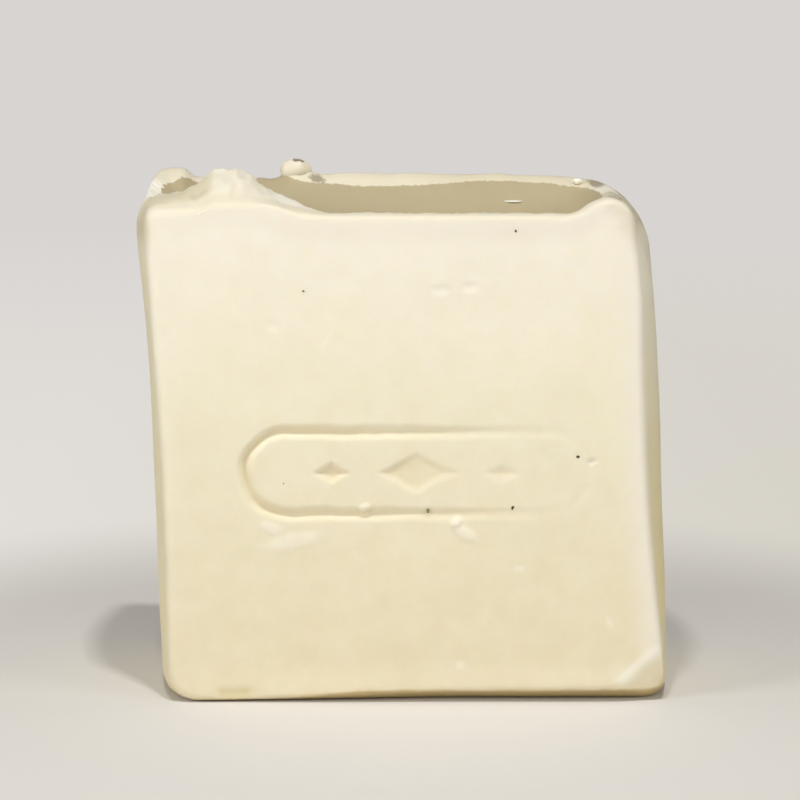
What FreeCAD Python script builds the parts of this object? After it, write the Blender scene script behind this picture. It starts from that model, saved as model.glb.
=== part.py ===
import FreeCAD, Part
import Sketcher
import math
import os

# A used bar of hand soap that stands on one of its long edges.
# X runs to the right across the front face, Y runs from the front face to the back face,
# Z runs up from the worn flat that the bar rests on. All lengths are in millimetres.
# The bar was moulded with a belly: its outline grows from each face to the middle of the
# thickness. Use has hollowed its top edge, torn a lip there, and worn its mark and corners.

document = FreeCAD.newDocument("soap_bar")

# Smallest volume, in cubic millimetres, that counts as a cut.
LEAST_CUT = 0.01
# The worn top is built of flat facets of about this size, on a grid wider than the bar.
FACET_ACROSS = 2.0
FACET_DEEP = 1.6
MARGIN = 2.0
# Powers that shape the worn top: how blunt the torn lip is, how pointed the hollow.
LIP_BLUNTNESS = 3
HOLLOW_POINT = 1.2

# Each row: the name of a size, its value, what it measures.
SIZES = [
    ("bar_thickness", "27", "front face to back face"),
    ("slab_thickness", "4", "depth of the slab behind each face, up to the belly"),
    ("bar_height", "55.1", "rest plane to the rear rim of the worn top"),
    ("face_width_low", "52.2", "width of the front face at its lower edge"),
    ("face_width_high", "50.5", "width of the front face at its upper edge"),
    ("face_lean", "2.95", "how far the face drifts left from its lower to its upper edge"),
    ("face_low_left", "0.3", "height of the lower left corner of the face"),
    ("face_low_right", "1.7", "height of the lower right corner of the face"),
    ("flare_left", "1.7", "belly of the left side beyond the face"),
    ("flare_right", "2.5", "belly of the right side beyond the face"),
    ("flare_high_left", "2.6", "belly of the top beyond the face, at the left end"),
    ("flare_high_right", "1.5", "belly of the top beyond the face, at the right end"),
    ("lip_allowance", "1.2", "moulded top above the torn lip, at the left end"),
    ("shoulder_rise", "0.3", "moulded top above the rear rim, at the right end"),
    ("worn_low_left", "2.5", "soap worn off under the left end"),
    ("worn_low_right", "3.3", "soap worn off under the right end"),
    ("face_round_low_left", "4.4", "corner radius of the face, lower left"),
    ("face_round_low_right", "2", "corner radius of the face, lower right"),
    ("face_round_high_right", "2.5", "corner radius of the face, upper right"),
    ("face_round_high_left", "3", "corner radius of the face, upper left"),
    ("belly_round_low_left", "6", "corner radius at mid thickness, lower left"),
    ("belly_round_low_right", "4", "corner radius at mid thickness, lower right"),
    ("belly_round_high_right", "8", "corner radius at mid thickness, upper right"),
    ("belly_round_high_left", "5", "corner radius at mid thickness, upper left"),
    ("edge_bevel", "0.8", "width of the worn bevel round the front and the back face"),
    ("rim_drop_left", "1.8", "front rim below the rear rim, at the left end"),
    ("rim_drop_middle", "2.85", "front rim below the rear rim, along the dip"),
    ("rim_drop_right", "0.45", "front rim below the rear rim, at the right end"),
    ("rim_wall", "1.4", "front face to the crest of the front rim, along the dip"),
    ("rim_edge_drop", "0.35", "edge of the face below the crest of the rim, along the dip"),
    ("dip_from_left", "13.65", "left end of the bar to the start of the dip"),
    ("dip_from_right", "3.95", "right end of the bar to the end of the dip"),
    ("dip_slope", "8.4", "length of the slope that leads into the dip"),
    ("dip_slope_right", "5.5", "length of the slope that leads out of the dip"),
    ("lip_rise", "1.5", "torn lip above the rear rim"),
    ("lip_from_left", "10.05", "left end of the bar to the middle of the torn lip"),
    ("lip_half_width", "3.5", "half the width of the torn lip"),
    ("ledge_depth", "7", "front face to the crest of the torn lip"),
    ("ledge_drop", "0.7", "edge of the face below the front rim, at the left end"),
    ("rear_rim_inset", "6.6", "back face to the crest of the rear rim"),
    ("rear_edge_drop", "2", "back edge below the rear rim"),
    ("hollow_depth", "4.4", "hollow below the line from rim to rim"),
    ("pocket_depth", "2.3", "pocket behind the torn lip below the line from rim to rim"),
    ("hollow_from_left", "0.6", "left end of the bar to the start of the pocket"),
    ("hollow_from_right", "3.65", "right end of the bar to the end of the hollow"),
    ("hollow_slope", "5", "length over which the hollow reaches its depth"),
    ("shoulder_drop", "0.9", "wear of the top right corner"),
    ("shoulder_length", "8", "length of the wear of the top right corner"),
    ("crumb_radius", "1.5", "radius of the crumb stuck on the rear rim"),
    ("crumb_from_left", "16.9", "left end of the bar to the crumb"),
    ("crumb_seat", "0.3", "middle of the crumb above the rear rim"),
    ("stamp_length", "38", "length of the oval mark"),
    ("stamp_width", "10.4", "width of the oval mark"),
    ("stamp_stroke", "1.7", "width of the groove of the oval mark"),
    ("stamp_up", "24.9", "rest plane to the middle of the oval mark"),
    ("stamp_aside", "1.6", "middle of the face to the middle of the oval mark"),
    ("stamp_depth_left", "1", "depth of the oval mark at its left end"),
    ("stamp_depth_right", "0.12", "depth left of the oval mark at its worn right end"),
    ("lozenge_length", "9", "length of the lozenge inside the oval mark"),
    ("lozenge_width", "4.6", "width of the lozenge inside the oval mark"),
    ("lozenge_small_length", "4.6", "length of the two small lozenges"),
    ("lozenge_small_width", "2.6", "width of the two small lozenges"),
    ("lozenge_gap", "2.2", "space between neighbouring lozenges"),
    ("flake_width", "4.4", "width of the flake lost at the lower edge"),
    ("flake_height", "1.5", "height of the flake lost at the lower edge"),
    ("flake_depth", "0.9", "thickness of the flake lost at the lower edge"),
    ("flake_notch", "0.4", "dip in the ragged upper edge of the flake"),
    ("flake_from_left", "5.6", "lower left corner of the face to the flake"),
    ("chip_reach", "4.6", "reach of the chip up and along from the lower right corner"),
    ("chip_angle", "24", "slope of the chip, in degrees"),
]

# Sizes that follow from the others.
DERIVED = [
    ("middle", "(face_width_high - face_width_low) / 4 + (flare_left - flare_right) / 2"),
    ("middle_low", "middle + face_lean / 2"),
    ("middle_high", "middle - face_lean / 2"),
    ("face_left_low", "middle_low - face_width_low / 2"),
    ("face_right_low", "middle_low + face_width_low / 2"),
    ("face_left_high", "middle_high - face_width_high / 2"),
    ("face_right_high", "middle_high + face_width_high / 2"),
    ("belly_left_low", "face_left_low - flare_left"),
    ("belly_right_low", "face_right_low + flare_right"),
    ("belly_left_high", "face_left_high - flare_left"),
    ("belly_right_high", "face_right_high + flare_right"),
    ("belly_low_left", "-worn_low_left"),
    ("belly_low_right", "-worn_low_right"),
    ("belly_high_left", "bar_height + lip_rise + lip_allowance"),
    ("belly_high_right", "bar_height + shoulder_rise"),
    ("face_high_left", "belly_high_left - flare_high_left"),
    ("face_high_right", "belly_high_right - flare_high_right"),
    ("flat_left_low", "face_left_low + edge_bevel"),
    ("flat_right_low", "face_right_low - edge_bevel"),
    ("flat_left_high", "face_left_high + edge_bevel"),
    ("flat_right_high", "face_right_high - edge_bevel"),
    ("flat_low_left", "face_low_left + edge_bevel"),
    ("flat_low_right", "face_low_right + edge_bevel"),
    ("flat_high_left", "face_high_left - edge_bevel"),
    ("flat_high_right", "face_high_right - edge_bevel"),
    ("half_thickness", "bar_thickness / 2"),
    ("bevel_depth", "half_thickness - edge_bevel"),
    ("cheek_depth", "half_thickness - slab_thickness"),
    ("swell", "1 - (cheek_depth / half_thickness) ^ 2"),
    ("base_length", "2 * (face_width_low + flare_left + flare_right)"),
    ("base_cut", "2 * (worn_low_left + worn_low_right)"),
    ("stamp_middle", "middle + stamp_aside"),
    ("stamp_round", "stamp_width / 2"),
    ("stamp_inner_round", "stamp_round - stamp_stroke"),
    ("stamp_arc", "stamp_length / 2 - stamp_round"),
    ("stamp_tilt", "atan((stamp_depth_left - stamp_depth_right) / stamp_length)"),
    ("stamp_depth", "(stamp_depth_left + stamp_depth_right) / 2"),
    ("small_aside", "lozenge_length / 2 + lozenge_gap + lozenge_small_length / 2"),
    ("chip_span", "3 * chip_reach"),
]
PLACES_ACROSS = ("left_low", "right_low", "right_high", "left_high")
PLACES_UP = ("low_left", "low_right", "high_right", "high_left")
# The cheek is where slab and belly meet: it has part of the swell from face to belly.
for place in PLACES_ACROSS + PLACES_UP + tuple("round_" + place for place in PLACES_UP):
    between = "face_{0} + (belly_{0} - face_{0}) * swell".format(place)
    DERIVED.append(("cheek_" + place, between))
# The flat is the face inside its bevel, so its corners are tighter by the bevel.
for place in PLACES_UP:
    DERIVED.append(("flat_round_" + place, "face_round_" + place + " - edge_bevel"))

sheet = document.addObject("Spreadsheet::Sheet", "sizes")
row = 1
for name, value, note in SIZES:
    sheet.set("A" + str(row), note)
    sheet.set("B" + str(row), value)
    sheet.setAlias("B" + str(row), name)
    row += 1
for name, formula in DERIVED:
    sheet.set("A" + str(row), "follows from the sizes above")
    sheet.set("B" + str(row), "=" + formula)
    sheet.setAlias("B" + str(row), name)
    row += 1
document.recompute()


def size(name):
    """Value of a named size of the sheet, without its unit."""
    value = sheet.get(name)
    return float(getattr(value, "Value", value))


body = document.addObject("PartDesign::Body", "moulded_bar")
planes = {feature.Role: feature for feature in body.Origin.OriginFeatures}


def new_sketch(name, plane):
    """Empty sketch of the bar, attached to one of its own origin planes."""
    sketch = body.newObject("Sketcher::SketchObject", name)
    sketch.AttachmentSupport = [(planes[plane], "")]
    sketch.MapMode = "FlatFace"
    return sketch


def bind(sketch, constraint, formula):
    """Add a constraint whose value is a formula of the sheet's sizes."""
    index = sketch.addConstraint(constraint)
    sketch.setExpression("Constraints[" + str(index) + "]", formula)


def pin(sketch, geometry, vertex, across, up):
    """Fix a vertex of the sketch at formulas of the sheet's sizes."""
    spot = sketch.getPoint(geometry, vertex)
    bind(sketch, Sketcher.Constraint("DistanceX", -1, 1, geometry, vertex, spot.x), across)
    bind(sketch, Sketcher.Constraint("DistanceY", -1, 1, geometry, vertex, spot.y), up)


def rounded_outline(name, part, depth):
    """Four straight sides joined by four arcs, at one depth of the bar's thickness.

    The part of the bar, such as face or belly, starts the names of the corners' places and
    of their radii. The corners go round from the lower left one to the upper left one.
    """
    sketch = new_sketch(name, "XZ_Plane")
    sketch.setExpression("AttachmentOffset.Base.z", depth)
    pairs = zip(PLACES_ACROSS, PLACES_UP)
    corners = [(part + "_" + across, part + "_" + up) for across, up in pairs]
    rounds = [part + "_round_" + place for place in PLACES_UP]
    points = [FreeCAD.Vector(size(across), size(up), 0) for across, up in corners]
    starts = []
    ends = []
    arcs = []
    for index in range(4):
        here = points[index]
        back = (points[index - 1] - here).normalize()
        ahead = (points[(index + 1) % 4] - here).normalize()
        radius = size(rounds[index])
        half_angle = back.getAngle(ahead) / 2
        reach = radius / math.tan(half_angle)
        centre = here + (back + ahead).normalize() * (radius / math.sin(half_angle))
        first = here + back * reach
        last = here + ahead * reach
        begin = math.atan2(first.y - centre.y, first.x - centre.x)
        sweep = math.pi - 2 * half_angle
        circle = Part.Circle(centre, FreeCAD.Vector(0, 0, 1), radius)
        arcs.append(Part.ArcOfCircle(circle, begin, begin + sweep))
        ends.append(first)
        starts.append(last)
    for index in range(4):
        sketch.addGeometry(Part.LineSegment(starts[index], ends[(index + 1) % 4]), False)
    for arc in arcs:
        sketch.addGeometry(arc, False)
    for point in points:
        sketch.addGeometry(Part.Point(point), True)
    for index in range(4):
        line_before = (index + 3) % 4
        arc = 4 + index
        corner = 8 + index
        sketch.addConstraint(Sketcher.Constraint("Tangent", line_before, 2, arc, 1))
        sketch.addConstraint(Sketcher.Constraint("Tangent", arc, 2, index, 1))
        sketch.addConstraint(Sketcher.Constraint("PointOnObject", corner, 1, index))
        sketch.addConstraint(Sketcher.Constraint("PointOnObject", corner, 1, line_before))
        radius = Sketcher.Constraint("Radius", arc, size(rounds[index]))
        bind(sketch, radius, "sizes." + rounds[index])
        across, up = corners[index]
        pin(sketch, corner, 1, "sizes." + across, "sizes." + up)
    return sketch


def polygon(sketch, points):
    """Closed run of straight lines through points given as pairs of formulas."""
    first = sketch.GeometryCount
    count = len(points)
    spots = []
    for across, up in points:
        values = [document.sizes.evalExpression(text.replace("sizes.", "")) for text in (across, up)]
        numbers = [float(getattr(value, "Value", value)) for value in values]
        spots.append(FreeCAD.Vector(numbers[0], numbers[1], 0))
    for index in range(count):
        sketch.addGeometry(Part.LineSegment(spots[index], spots[(index + 1) % count]), False)
    for index in range(count):
        line = first + index
        following = first + (index + 1) % count
        sketch.addConstraint(Sketcher.Constraint("Coincident", line, 2, following, 1))
        pin(sketch, line, 1, points[index][0], points[index][1])


def stadium(sketch, arc_name, round_name):
    """Two level lines closed by two half circles, centred on the sketch's origin."""
    first = sketch.GeometryCount
    reach = size(arc_name)
    radius = size(round_name)
    right = Part.Circle(FreeCAD.Vector(reach, 0, 0), FreeCAD.Vector(0, 0, 1), radius)
    left = Part.Circle(FreeCAD.Vector(-reach, 0, 0), FreeCAD.Vector(0, 0, 1), radius)
    low = Part.LineSegment(FreeCAD.Vector(-reach, -radius, 0), FreeCAD.Vector(reach, -radius, 0))
    high = Part.LineSegment(FreeCAD.Vector(reach, radius, 0), FreeCAD.Vector(-reach, radius, 0))
    sketch.addGeometry(low, False)
    sketch.addGeometry(Part.ArcOfCircle(right, -math.pi / 2, math.pi / 2), False)
    sketch.addGeometry(high, False)
    sketch.addGeometry(Part.ArcOfCircle(left, math.pi / 2, 3 * math.pi / 2), False)
    for index in range(4):
        following = first + (index + 1) % 4
        sketch.addConstraint(Sketcher.Constraint("Tangent", first + index, 2, following, 1))
    sketch.addConstraint(Sketcher.Constraint("Horizontal", first))
    bind(sketch, Sketcher.Constraint("Radius", first + 1, radius), "sizes." + round_name)
    pin(sketch, first + 1, 3, "sizes." + arc_name, "0")
    bind(sketch, Sketcher.Constraint("DistanceX", -1, 1, first + 3, 3, -reach), "-sizes." + arc_name)


def check_cut(feature):
    """Stop the build if a cut took no soap away."""
    document.recompute()
    if feature.BaseFeature.Shape.Volume - feature.Shape.Volume < LEAST_CUT:
        raise ValueError(feature.Label + " cut nothing")


# The moulded bar: a slab with a bevelled edge at each face, and the belly between the slabs.
front_flat = rounded_outline("front_flat", "flat", "sizes.half_thickness")
front_face = rounded_outline("front_face", "face", "sizes.bevel_depth")
front_cheek = rounded_outline("front_cheek", "cheek", "sizes.cheek_depth")
belly_outline = rounded_outline("belly_outline", "belly", "0")
back_cheek = rounded_outline("back_cheek", "cheek", "-sizes.cheek_depth")
back_face = rounded_outline("back_face", "face", "-sizes.bevel_depth")
back_flat = rounded_outline("back_flat", "flat", "-sizes.half_thickness")
document.recompute()


def loft(name, outlines, straight):
    """Solid through outlines that follow one another towards the front of the bar."""
    feature = body.newObject("PartDesign::AdditiveLoft", name)
    feature.Profile = outlines[0]
    feature.Sections = outlines[1:]
    feature.Ruled = straight
    document.recompute()
    return feature


loft("front_slab", [front_cheek, front_face, front_flat], True)
loft("belly", [back_cheek, belly_outline, front_cheek], False)
loft("back_slab", [back_flat, back_face, back_cheek], True)

# The worn flat that the bar stands on: everything under the rest plane goes.
base_sketch = new_sketch("base_sketch", "XY_Plane")
base_across = "sizes.base_length / 2"
base_deep = "sizes.bar_thickness"
polygon(base_sketch, [
    ("-" + base_across, "-" + base_deep),
    (base_across, "-" + base_deep),
    (base_across, base_deep),
    ("-" + base_across, base_deep),
])
base_flat = body.newObject("PartDesign::Pocket", "base_flat")
base_flat.Profile = base_sketch
base_flat.setExpression("Length", "sizes.base_cut")
check_cut(base_flat)

# The mark: an oval groove round three lozenges. The floor leans, so that the mark is deep
# on the left and almost worn away on the right. The sketch lies on that floor.
stamp_sketch = new_sketch("stamp_sketch", "XZ_Plane")
stamp_sketch.AttachmentOffset = FreeCAD.Placement(
    FreeCAD.Vector(0, 0, 0), FreeCAD.Rotation(FreeCAD.Vector(0, 1, 0), 1)
)
stamp_sketch.setExpression("AttachmentOffset.Base.x", "sizes.stamp_middle")
stamp_sketch.setExpression("AttachmentOffset.Base.y", "sizes.stamp_up")
stamp_sketch.setExpression("AttachmentOffset.Base.z", "sizes.half_thickness - sizes.stamp_depth")
stamp_sketch.setExpression("AttachmentOffset.Rotation.Angle", "-sizes.stamp_tilt")
document.recompute()
stadium(stamp_sketch, "stamp_arc", "stamp_round")
stadium(stamp_sketch, "stamp_arc", "stamp_inner_round")


def lozenge(sketch, middle, length, width):
    """Four-sided figure with its points to the left, below, to the right and above."""
    polygon(sketch, [
        (middle + " - " + length + " / 2", "0"),
        (middle, "-" + width + " / 2"),
        (middle + " + " + length + " / 2", "0"),
        (middle, width + " / 2"),
    ])


lozenge(stamp_sketch, "0", "sizes.lozenge_length", "sizes.lozenge_width")
lozenge(stamp_sketch, "-sizes.small_aside", "sizes.lozenge_small_length", "sizes.lozenge_small_width")
lozenge(stamp_sketch, "sizes.small_aside", "sizes.lozenge_small_length", "sizes.lozenge_small_width")
stamp = body.newObject("PartDesign::Pocket", "stamp")
stamp.Profile = stamp_sketch
stamp.Reversed = True
stamp.setExpression("Length", "2 * sizes.stamp_depth_left")
check_cut(stamp)

# A flake lost at the lower edge of the face, with a ragged upper edge.
flake_sketch = new_sketch("flake_sketch", "XZ_Plane")
flake_sketch.setExpression("AttachmentOffset.Base.z", "sizes.half_thickness")
flake_left = "sizes.face_left_low + sizes.flake_from_left"
flake_right = flake_left + " + sizes.flake_width"
flake_top = "sizes.face_low_left + sizes.flake_height"
polygon(flake_sketch, [
    (flake_left, "0"),
    (flake_right, "0"),
    (flake_right, flake_top),
    (flake_left + " + sizes.flake_width / 2", flake_top + " - sizes.flake_notch"),
    (flake_left, flake_top),
])
flake = body.newObject("PartDesign::Pocket", "flake")
flake.Profile = flake_sketch
flake.setExpression("Length", "sizes.flake_depth")
check_cut(flake)

# The chipped lower right corner of the face: a flat that slopes back into the bar from a
# line across the corner.
chip_sketch = new_sketch("chip_sketch", "XZ_Plane")
chip_sketch.AttachmentOffset = FreeCAD.Placement(
    FreeCAD.Vector(0, 0, 0), FreeCAD.Rotation(FreeCAD.Vector(1, 1, 0), 1)
)
chip_sketch.setExpression("AttachmentOffset.Base.x", "sizes.face_right_low - sizes.chip_reach")
chip_sketch.setExpression("AttachmentOffset.Base.y", "sizes.face_low_right")
chip_sketch.setExpression("AttachmentOffset.Base.z", "sizes.half_thickness")
chip_sketch.setExpression("AttachmentOffset.Rotation.Angle", "sizes.chip_angle")
document.recompute()
polygon(chip_sketch, [
    ("-sizes.chip_reach", "-sizes.chip_reach"),
    ("sizes.chip_span", "-sizes.chip_reach"),
    ("sizes.chip_span", "sizes.chip_span"),
])
chip = body.newObject("PartDesign::Pocket", "chip")
chip.Profile = chip_sketch
chip.Reversed = True
chip.setExpression("Length", "sizes.chip_span")
check_cut(chip)


def ease(place, start, end):
    """Smooth step: 0 before the start, 1 past the end, level at both."""
    share = min(max((place - start) / (end - start), 0), 1)
    return share * share * (3 - 2 * share)


def worn_height(across, deep):
    """Height of the worn top over one point of the bar.

    Going back from the front face it climbs to the crest of the front rim, drops into the
    hollow, climbs to the crest of the rear rim and falls to the back edge. Each of these
    heights changes along the bar.
    """
    left = size("belly_left_high")
    right = size("belly_right_high")
    dip_start = left + size("dip_from_left")
    in_dip = ease(across, dip_start, dip_start + size("dip_slope"))
    dip_end = right - size("dip_from_right")
    past_dip = ease(across, dip_end - size("dip_slope_right"), dip_end)
    shoulder = size("shoulder_drop") * ease(across, right - size("shoulder_length"), right)
    rear_rim = size("bar_height") - shoulder
    drop = size("rim_drop_left")
    drop += (size("rim_drop_middle") - size("rim_drop_left")) * in_dip
    drop += (size("rim_drop_right") - size("rim_drop_middle")) * past_dip
    lip_place = abs(across - left - size("lip_from_left")) / size("lip_half_width")
    lip = (size("lip_rise") + size("rim_drop_left")) * math.exp(-lip_place ** LIP_BLUNTNESS)
    front_rim = size("bar_height") - shoulder - drop + lip
    edge_drop = size("ledge_drop") + (size("rim_edge_drop") - size("ledge_drop")) * in_dip
    front_edge = size("bar_height") - shoulder - drop - edge_drop
    ahead = -size("half_thickness")
    crest = ahead + size("ledge_depth") + (size("rim_wall") - size("ledge_depth")) * in_dip
    rear_crest = size("half_thickness") - size("rear_rim_inset")
    if deep <= crest:
        share = (deep - ahead) / (crest - ahead)
        return front_edge + (front_rim - front_edge) * (1 - (1 - share) ** 2)
    if deep >= rear_crest:
        share = (deep - rear_crest) / size("rear_rim_inset")
        return rear_rim - size("rear_edge_drop") * share ** 2
    share = (deep - crest) / (rear_crest - crest)
    start = left + size("hollow_from_left")
    end = right - size("hollow_from_right")
    depth = size("pocket_depth") + (size("hollow_depth") - size("pocket_depth")) * in_dip
    depth *= ease(across, start, start + size("hollow_slope"))
    depth *= 1 - ease(across, end - size("hollow_slope"), end)
    line = front_rim + (rear_rim - front_rim) * ease(share, 0, 1)
    return line - depth * math.sin(math.pi * share) ** HOLLOW_POINT


def even_steps(start, end, step):
    """Evenly spaced places from start to end, at most one step apart."""
    count = int(math.ceil((end - start) / step))
    return [start + (end - start) * number / count for number in range(count + 1)]


def flat_face(points):
    """Flat face with the given corners."""
    return Part.Face(Part.makePolygon(points + points[:1]))


def block_over_top():
    """Solid with the worn top as its underside, level on top and wider than the bar."""
    left = size("belly_left_high") - MARGIN
    right = size("belly_right_low") + MARGIN
    reach = size("half_thickness") + MARGIN
    grid = []
    for across in even_steps(left, right, FACET_ACROSS):
        line = [FreeCAD.Vector(across, deep, worn_height(across, deep))
                for deep in even_steps(-reach, reach, FACET_DEEP)]
        grid.append(line)
    faces = []
    for line, after in zip(grid, grid[1:]):
        for number in range(len(line) - 1):
            corners = [line[number], after[number], after[number + 1], line[number + 1]]
            faces.append(flat_face([corners[0], corners[1], corners[2]]))
            faces.append(flat_face([corners[0], corners[2], corners[3]]))
    lid = size("belly_high_left") + MARGIN
    for border in (grid[0], grid[-1], [line[0] for line in grid], [line[-1] for line in grid]):
        raised = [FreeCAD.Vector(point.x, point.y, lid) for point in (border[-1], border[0])]
        faces.append(flat_face(border + raised))
    outer = [grid[0][0], grid[-1][0], grid[-1][-1], grid[0][-1]]
    faces.append(flat_face([FreeCAD.Vector(point.x, point.y, lid) for point in outer]))
    solid = Part.Solid(Part.Shell(faces))
    solid.fix(0.001, 0.001, 0.001)
    return solid


# The worn top is a free surface: all that lies over it is taken off the moulded bar.
over_top = document.addObject("Part::Feature", "over_top")
over_top.Shape = block_over_top()

worn_bar = document.addObject("Part::Cut", "worn_bar")
worn_bar.Base = body
worn_bar.Tool = over_top

# A crumb of soap stuck on the rear rim.
crumb = document.addObject("Part::Sphere", "crumb")
crumb.setExpression("Radius", "sizes.crumb_radius")
crumb.setExpression("Placement.Base.x", "sizes.belly_left_high + sizes.crumb_from_left")
crumb.setExpression("Placement.Base.y", "sizes.half_thickness - sizes.rear_rim_inset")
crumb.setExpression("Placement.Base.z", "sizes.bar_height + sizes.crumb_seat")

soap_bar = document.addObject("Part::MultiFuse", "soap_bar")
soap_bar.Shapes = [worn_bar, crumb]
soap_bar.Label = "soap_bar"
document.recompute()

for item in document.Objects:
    if "Invalid" in item.State or "Error" in item.State:
        raise ValueError(item.Label + " failed to build: " + str(item.State))
for item in (body, worn_bar, soap_bar):
    if item.Shape.isNull() or not item.Shape.isValid():
        raise ValueError(item.Label + " has no valid shape")
if len(soap_bar.Shape.Solids) != 1:
    raise ValueError("the bar is not one solid")
print(soap_bar.Label, soap_bar.Shape.BoundBox, soap_bar.Shape.Volume)

os.makedirs("parts", exist_ok=True)
soap_bar.Shape.exportStep("parts/soap_bar.step")
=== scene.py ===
"""A used bar of hand soap that stands on one of its long edges.

X runs to the right across the stamped face, Y from that face to the back, Z up from the plane
that the bar rests on. Shapes are worked out in millimetres and turned to metres at the end.
"""

import logging
import math
from dataclasses import dataclass, field
from enum import Enum
from typing import Any

import bpy
import numpy as np
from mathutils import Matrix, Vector


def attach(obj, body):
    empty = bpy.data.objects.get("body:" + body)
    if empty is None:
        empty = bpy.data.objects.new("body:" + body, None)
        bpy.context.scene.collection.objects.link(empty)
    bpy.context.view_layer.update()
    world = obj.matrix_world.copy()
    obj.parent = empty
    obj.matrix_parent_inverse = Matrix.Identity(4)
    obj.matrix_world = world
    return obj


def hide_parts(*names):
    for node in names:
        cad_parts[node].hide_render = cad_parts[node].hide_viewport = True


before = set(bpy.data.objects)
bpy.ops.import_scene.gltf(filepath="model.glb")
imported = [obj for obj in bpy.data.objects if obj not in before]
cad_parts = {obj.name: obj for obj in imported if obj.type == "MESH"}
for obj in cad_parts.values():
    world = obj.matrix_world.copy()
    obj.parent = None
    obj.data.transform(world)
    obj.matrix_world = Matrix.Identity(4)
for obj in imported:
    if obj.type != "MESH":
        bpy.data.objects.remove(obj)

log = logging.getLogger("soap")
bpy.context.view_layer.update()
MM = 0.001
BISECTIONS = 26


class Place(Enum):
    """Where a dab lies on the bar: pressed into the soap, or standing on it."""

    SUNK = -1
    RAISED = 1


def ease(place: np.ndarray, start: Any, end: Any) -> np.ndarray:
    """Smooth step: 0 before the start, 1 past the end, level at both.

    Args:
        place: where to read the step.
        start: where the step leaves 0.
        end: where it reaches 1; below start for a step that falls.

    Returns:
        3 s squared minus 2 s cubed, with s the clipped share of the way from start to end.
    """
    share = np.clip((place - start) / (end - start), 0.0, 1.0)
    return share * share * (3.0 - 2.0 * share)


def bump(place: np.ndarray, middle: float, width: float) -> np.ndarray:
    """Bell curve: e to minus the square of the distance from the middle over the width."""
    return np.exp(-(((place - middle) / width) ** 2))


def soft_max(one: np.ndarray, other: np.ndarray, width: float) -> np.ndarray:
    """Larger of two gaps, with the edge between them worn round.

    Args:
        one: first signed gap in mm.
        other: second signed gap in mm.
        width: how far from the edge the wear starts, in mm.

    Returns:
        The larger gap plus, near the edge, the square of what is left of the width over four
        widths.
    """
    near = np.maximum(width - np.abs(one - other), 0.0)
    return np.maximum(one, other) + near * near / (4.0 * width)


def round_max(one: np.ndarray, other: np.ndarray, radius: np.ndarray) -> np.ndarray:
    """Gap to two sides that meet in a round corner.

    Args:
        one: signed gap to the first side in mm.
        other: signed gap to the second side in mm.
        radius: radius of the corner in mm.

    Returns:
        Inside the corner the distance from its centre less the radius, elsewhere the larger gap.
    """
    in_corner = (one > -radius) & (other > -radius)
    corner = np.hypot(one + radius, other + radius) - radius
    return np.where(in_corner, corner, np.maximum(one, other))


def grain(first: np.ndarray, second: np.ndarray, cell: float, seed: int) -> np.ndarray:
    """Smooth random relief over two coordinates.

    Random heights stand on a square lattice. Between them the height is blended with the smooth
    step in both directions.

    Args:
        first: first coordinate in mm.
        second: second coordinate in mm.
        cell: spacing of the lattice in mm.
        seed: number of the random pattern.

    Returns:
        Heights between -1 and 1.
    """
    heights = np.random.default_rng(seed).uniform(-1.0, 1.0, (256, 256))
    across, up = first / cell + 97.0, second / cell + 61.0
    column, row = np.floor(across).astype(int), np.floor(up).astype(int)
    right, high = ease(across - column, 0.0, 1.0), ease(up - row, 0.0, 1.0)
    column, row = column % 255, row % 255
    low = heights[column, row] * (1 - right) + heights[column + 1, row] * right
    top = heights[column, row + 1] * (1 - right) + heights[column + 1, row + 1] * right
    return low * (1 - high) + top * high


def ragged(first: np.ndarray, second: np.ndarray, cell: float, seed: int) -> np.ndarray:
    """Three octaves of grain, each half as coarse and half as high as the one before."""
    return (
        grain(first, second, cell, seed)
        + 0.5 * grain(first, second, cell / 2, seed + 1)
        + 0.25 * grain(first, second, cell / 4, seed + 2)
    ) / 1.75


@dataclass(frozen=True)
class Section:
    """Four-cornered outline of the bar at one depth, in mm, from the lower left corner round."""

    corners: tuple[tuple[float, float], ...]
    rounds: tuple[float, ...]


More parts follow.
